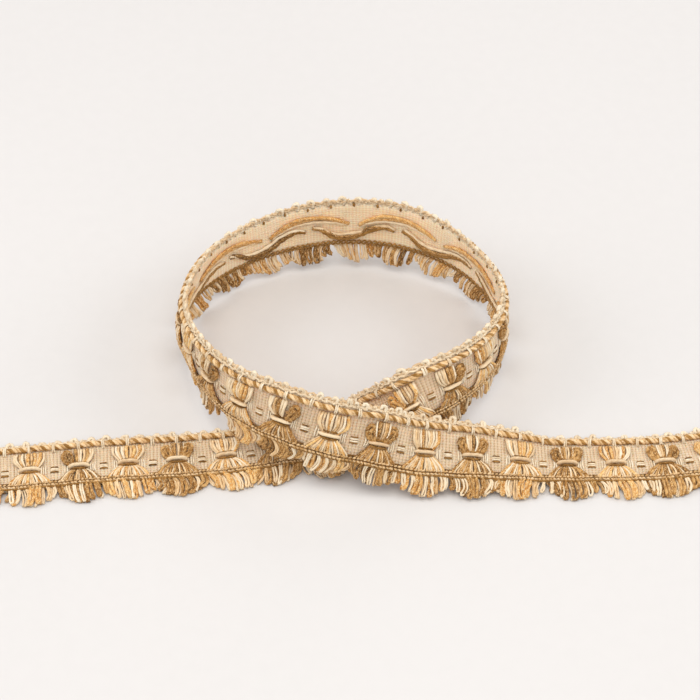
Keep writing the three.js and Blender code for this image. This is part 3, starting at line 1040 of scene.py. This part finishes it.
# %% Back floats
def float_back():
    skein = Skein(17)
    odd, even = WAISTS[2:-1:2], WAISTS[1:-1:2]
    work = (
        (odd, "gold", "gold", 0.9, 16.8, 0.5, -0.9),
        (odd, "gold", "gold", 0.84, 16.4, -0.65, -0.8),
        (odd, "gold", "cream", 0.8, 16.6, -2.05, -0.85),
        (even, "brown", "umber", 0.96, 17.2, -0.4, -1.0),
        (even, "brown", "brown", 0.92, 16.8, 0.75, -0.95),
        (even, "brown", "cream", 0.8, 17.4, 2.1, -0.9),
    )
    for centres, colour, dye, radius, half, apart, depth in work:
        arcs = float_arcs(centres, half, colour, apart, depth, skein)
        on_table = np.abs(arcs[..., 0] / REPEAT - LOOP["middle"]) > LOOP["half"]
        lowest = TABLE_DEPTH + 0.04 + FLATTENED * radius
        arcs[..., 2] = np.where(on_table, np.maximum(arcs[..., 2], lowest), arcs[..., 2])
        bobbin = "soft" if dye == "cream" else "plump"
        shade = -0.45 if dye == "brown" else 0.0
        skein.work(bobbin, drawn(arcs, 46), radius, DYE[dye], thick=FLATTENED, rough=0.06,
                   shade=shade)
    middle = 10.2 + skein.chance.normal(0, 0.25, (len(CROSSINGS), 1))
    knots = points_of(CROSSINGS[:, None], middle + np.array([-0.5, -0.3, 0.3, 0.5]),
                      np.array([0.1, -0.3, -0.3, 0.1]))
    skein.work("fine", drawn(knots, 6), 0.55, DYE["umber"], rough=0.12)
    return skein.mesh("back_yarns")


hand_over(float_back(), "floats", "back_floats")

# %% Pieces made so far
print("sheet declared with", len(made_pieces) - 1, "pieces on it")

# %% [markdown]
# ## The table, the light and the camera
# The trim lies on a plain pale table under soft light from all round. One sun would cut hard
# shadows between the yarns, so a broad lamp hangs above, weaker ones stand at the left, the
# right, the front and the back, and a pale sky fills the rest. A long lens looks down from
# the front, which keeps the near and far sides of the loop alike in scale.

# %% Table
def table_finish():
    finish = Finish("pale_table")
    place = finish.node("ShaderNodeTexCoord", None, None, output=3)
    grain = finish.noise(place, (180.0, 180.0, 180.0))
    cloud = finish.noise(place, (3.0, 3.0, 3.0))
    colour = finish.blend(finish.between(0.3, grain * 0.3 + cloud * 0.7, 0.7),
                          dyed(211, 208, 206), dyed(214, 211, 209))
    return finish.shade(colour, 0.75 + 0.1 * grain, grain, 0.02, {"Specular IOR Level": 0.15})


deselect()
bpy.ops.mesh.primitive_plane_add(size=6, location=(0, 0, 0))
table = bpy.context.object
table.name = "table_top"
table.data.materials.append(table_finish())
print("table", table.dimensions.x, "m wide")

# %% Light
world = bpy.data.worlds.new("soft_room")
bpy.context.scene.world = world
world.use_nodes = True
sky = world.node_tree.nodes["Background"]
sky.inputs["Color"].default_value = (0.975, 0.975, 1.0, 1.0)
sky.inputs["Strength"].default_value = 0.6


def lamp(name, place, size, power, colour):
    """A square soft lamp, aimed at the middle of the trim."""
    light = bpy.data.lights.new(name, "AREA")
    light.size = size
    light.energy = power
    light.color = colour
    holder = bpy.data.objects.new(name, light)
    bpy.context.scene.collection.objects.link(holder)
    holder.location = place
    aim = Vector((0, 0, 0.02)) - Vector(place)
    holder.rotation_euler = aim.to_track_quat("-Z", "Y").to_euler()


lamp("top_lamp", (0, -0.3, 1.55), 1.3, 14.2, (1.0, 0.955, 0.88))
for side, place, power, colour in (
        ("left", (-1.5, 0, 0.9), 9.0, (0.92, 0.95, 1.0)),
        ("right", (1.5, 0, 0.9), 9.5, (0.9, 0.95, 1.0)),
        ("front", (0, -1.5, 0.9), 2.2, (0.98, 1.0, 0.9)),
        ("back", (0, 1.5, 0.9), 4.0, (1.0, 0.92, 0.84))):
    lamp(f"{side}_lamp", place, 0.9, power, colour)

# %% Camera
VIEW = {"down": 46.95, "far": 922.37, "lens": 116.63, "x": -0.61, "y": 15.03}
down = math.radians(VIEW["down"])
eye = bpy.data.cameras.new("camera")
eye.lens = VIEW["lens"]
eye.sensor_width = 36
eye.clip_start = 0.05
camera = bpy.data.objects.new("camera", eye)
bpy.context.scene.collection.objects.link(camera)
camera.location = (VIEW["x"] * MM, (VIEW["y"] - VIEW["far"] * math.cos(down)) * MM,
                   VIEW["far"] * math.sin(down) * MM)
camera.rotation_euler = (math.pi / 2 - down, 0, 0)
bpy.context.scene.camera = camera
bpy.context.scene.view_settings.view_transform = "Standard"
print("camera at", [round(c, 4) for c in camera.location])

# %% [markdown]
# ## Counting the triangles
# The pieces made above are counted, with all their triangles.

# %% Triangle count
total = sum(len(face.vertices) - 2 for p in made_pieces for face in p.data.polygons)
print("pieces", len(made_pieces), "triangles", total)
